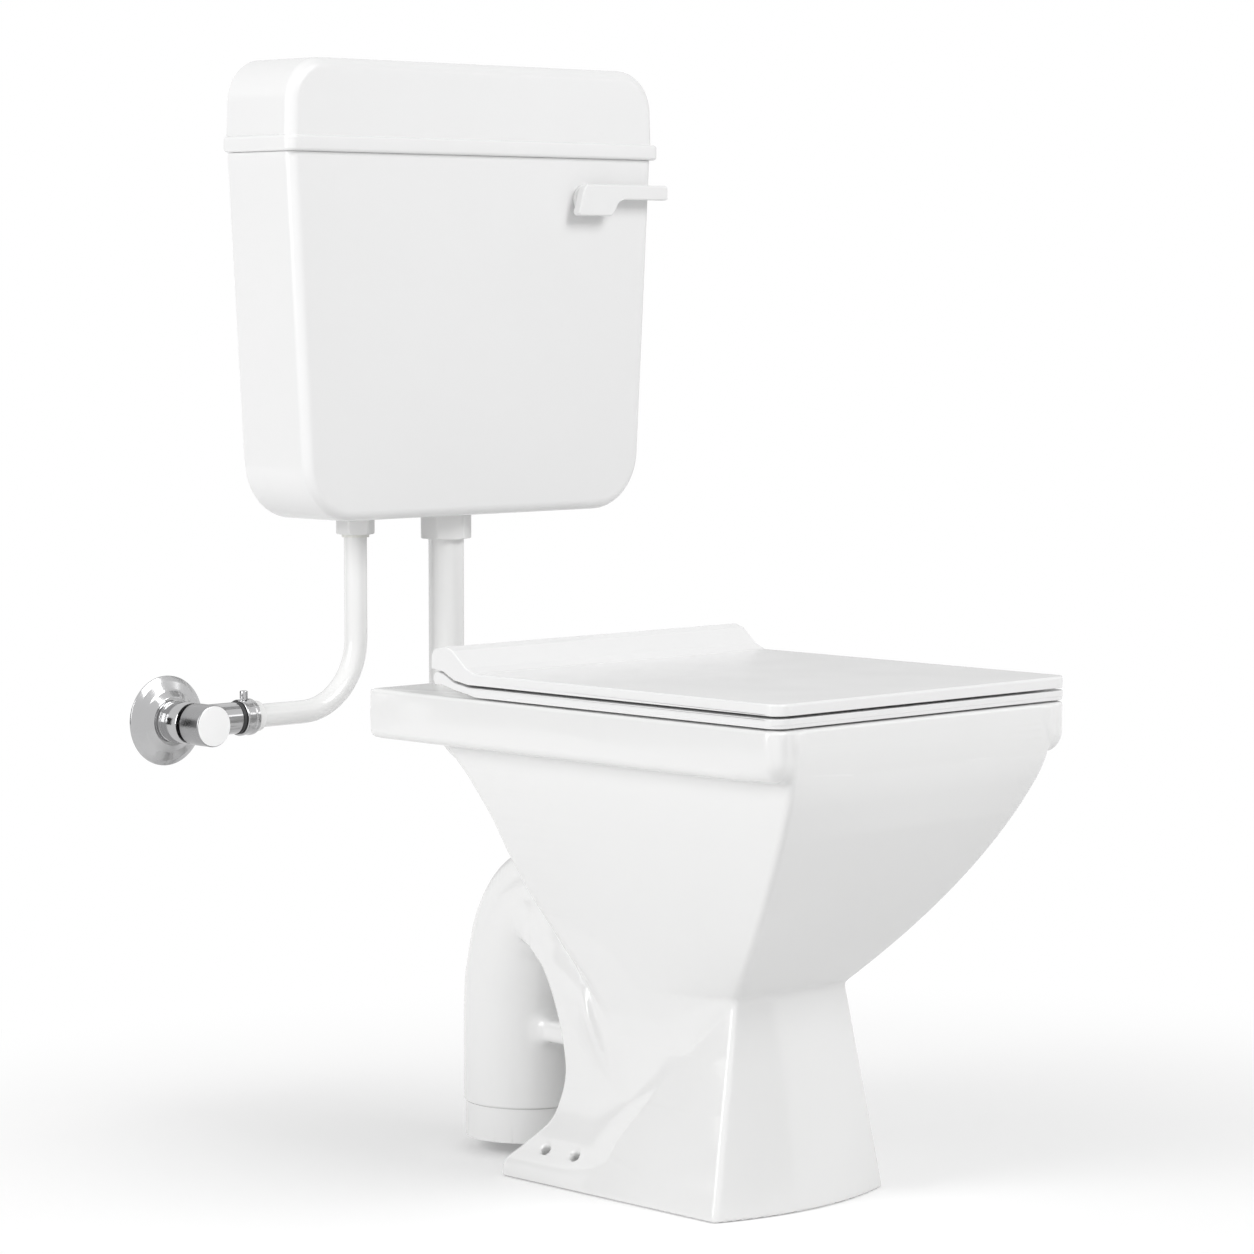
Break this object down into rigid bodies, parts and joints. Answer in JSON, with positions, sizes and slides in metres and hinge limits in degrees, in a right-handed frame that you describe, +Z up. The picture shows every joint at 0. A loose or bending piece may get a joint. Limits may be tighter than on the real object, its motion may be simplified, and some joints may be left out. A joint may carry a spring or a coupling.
{
  "type": "toilet",
  "caption": "Floor-standing toilet with an angular pan and S trap, flat hinged seat and lid, wall cistern with lever flush, pipes and wall stop cock.",
  "frame": {"origin": "on the underside of the pan's foot, on its middle line, 133 mm behind the front face of the rim", "axes": "+Z up, +Y back towards the wall, +X to the right as seen from the front"},
  "size_m": [0.5333, 0.6065, 0.935],
  "materials": {
    "vitreous_china": null,
    "white_gloss_plastic": "gloss white",
    "white_fitting": "soft gloss white",
    "valve_plastic": "satin white",
    "chrome": "bright chrome",
    "satin_chrome": "satin dark chrome",
    "steel": "brushed stainless",
    "brass": "plain brass",
    "dark_rubber": "black rubber",
    "pale_rubber": "pale grey rubber"
  },
  "bodies": {
    "suite": {"pan": "vitreous_china", "hinge_post_left": "steel", "hinge_post_right": "steel", "hinge_pin_left": "steel", "hinge_pin_right": "steel", "hinge_sleeve_left": "dark_rubber", "hinge_sleeve_right": "dark_rubber", "tank": "white_gloss_plastic", "lever_bush": "white_gloss_plastic", "lever_nut": "white_gloss_plastic", "siphon_body": "valve_plastic", "siphon_washer": "dark_rubber", "flush_nut": "white_fitting", "flush_pipe": "white_fitting", "flush_cone": "dark_rubber", "valve_stem": "valve_plastic", "valve_washer": "dark_rubber", "valve_nut": "white_fitting", "float_pin": "brass", "inlet_pipe": "white_fitting", "cock_flange": "chrome", "cock_body": "chrome", "cock_seal": "dark_rubber", "cock_clamp": "chrome", "cock_collar": "white_fitting", "clamp_screw": "chrome"},
    "seat_body": {"seat": "white_gloss_plastic", "seat_bumper_front_left": "pale_rubber", "seat_bumper_front_right": "pale_rubber", "seat_bumper_rear_left": "pale_rubber", "seat_bumper_rear_right": "pale_rubber"},
    "lid_body": {"lid": "white_gloss_plastic", "lid_bumper_left": "pale_rubber", "lid_bumper_right": "pale_rubber"},
    "cover_body": {"tank_lid": "white_gloss_plastic"},
    "lever_body": {"lever": "white_gloss_plastic", "lever_arm": "brass"},
    "plunger_body": {"plunger": "valve_plastic", "plunger_flap": "dark_rubber", "plunger_link": "brass"},
    "float_body": {"float_arm": "valve_plastic", "float": "valve_plastic"},
    "piston_body": {"valve_piston": "valve_plastic"},
    "knob_body": {"cock_knob": "satin_chrome"}
  },
  "joints": [
    {"name": "seat_hinge", "type": "hinge", "parent": "suite", "child": "seat_body", "pos_m": [0, 0.253, 0.424], "axis": [-1, 0, 0], "range_deg": [0, 95]},
    {"name": "lid_hinge", "type": "hinge", "parent": "seat_body", "child": "lid_body", "pos_m": [0, 0.253, 0.424], "axis": [1, 0, 0], "range_deg": [-100, 0]},
    {"name": "cover_lift", "type": "slide", "parent": "suite", "child": "cover_body", "axis": [0, 0, 1], "range_m": [0, 0.12]},
    {"name": "flush_lever", "type": "hinge", "parent": "suite", "child": "lever_body", "pos_m": [0.124, 0.434, 0.82], "axis": [0, 1, 0], "range_deg": [0, 35]},
    {"name": "plunger_lift", "type": "slide", "parent": "suite", "child": "plunger_body", "axis": [0, 0, 1], "range_m": [0, 0.0366]},
    {"name": "float_hinge", "type": "hinge", "parent": "suite", "child": "float_body", "pos_m": [-0.101, 0.447, 0.778], "axis": [0, 1, 0], "range_deg": [0, 50]},
    {"name": "piston_slide", "type": "slide", "parent": "suite", "child": "piston_body", "axis": [0, 0, -1], "range_m": [0, 0.0061]},
    {"name": "stop_cock", "type": "hinge", "parent": "suite", "child": "knob_body", "pos_m": [-0.281, 0.432, 0.381], "axis": [0, 1, 0], "range_deg": [0, 90]}
  ],
  "couplings": [
    {"joint": "plunger_lift", "follows": "flush_lever", "m_per_rad": 0.05936},
    {"joint": "piston_slide", "follows": "float_hinge", "m_per_rad": 0.006875}
  ]
}
